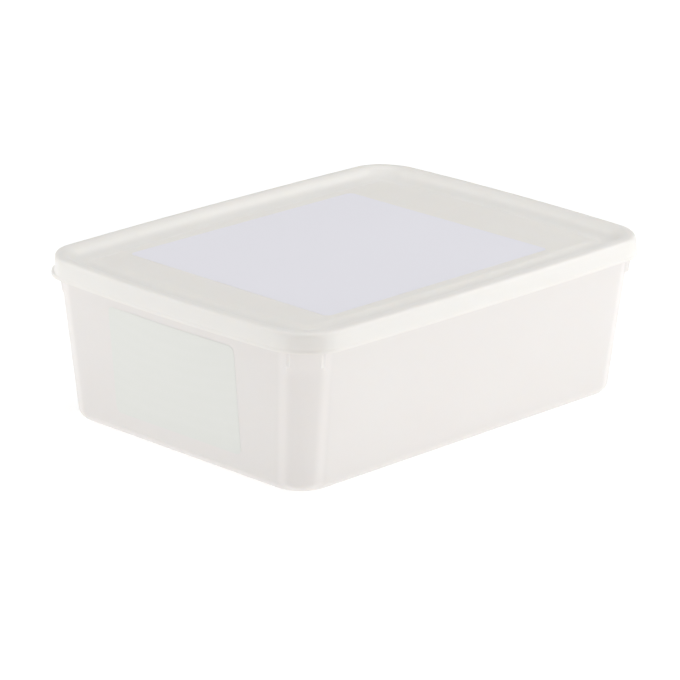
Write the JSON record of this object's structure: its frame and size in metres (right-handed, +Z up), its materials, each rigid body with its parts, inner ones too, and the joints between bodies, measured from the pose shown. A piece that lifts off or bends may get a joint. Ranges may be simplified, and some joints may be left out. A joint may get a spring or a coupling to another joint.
{
  "type": "food storage container",
  "caption": "Shut rectangular plastic food tub with rounded corners, tapered walls, a press-on lid with a rolled rim, and plain label fields on the lid and one end; holds prepared food.",
  "frame": {"origin": "under the middle of the shut tub, on the plane it stands on", "axes": "+X along the long sides, +Y across to the far long side, +Z up; the end label is on the short end towards -X"},
  "size_m": [0.228, 0.1758, 0.0753],
  "materials": {
    "tub_plastic": "satin injection-moulded polypropylene, slightly translucent white",
    "lid_plastic": "fine satin injection-moulded polypropylene, slightly translucent white",
    "lid_film": "satin printed polypropylene film, plain pale lavender grey",
    "end_film": "satin printed polypropylene film, plain pale green grey"
  },
  "bodies": {
    "root": {"tub": "tub_plastic", "lid": "lid_plastic", "lid_label": "lid_film", "end_label": "end_film"}
  },
  "joints": []
}
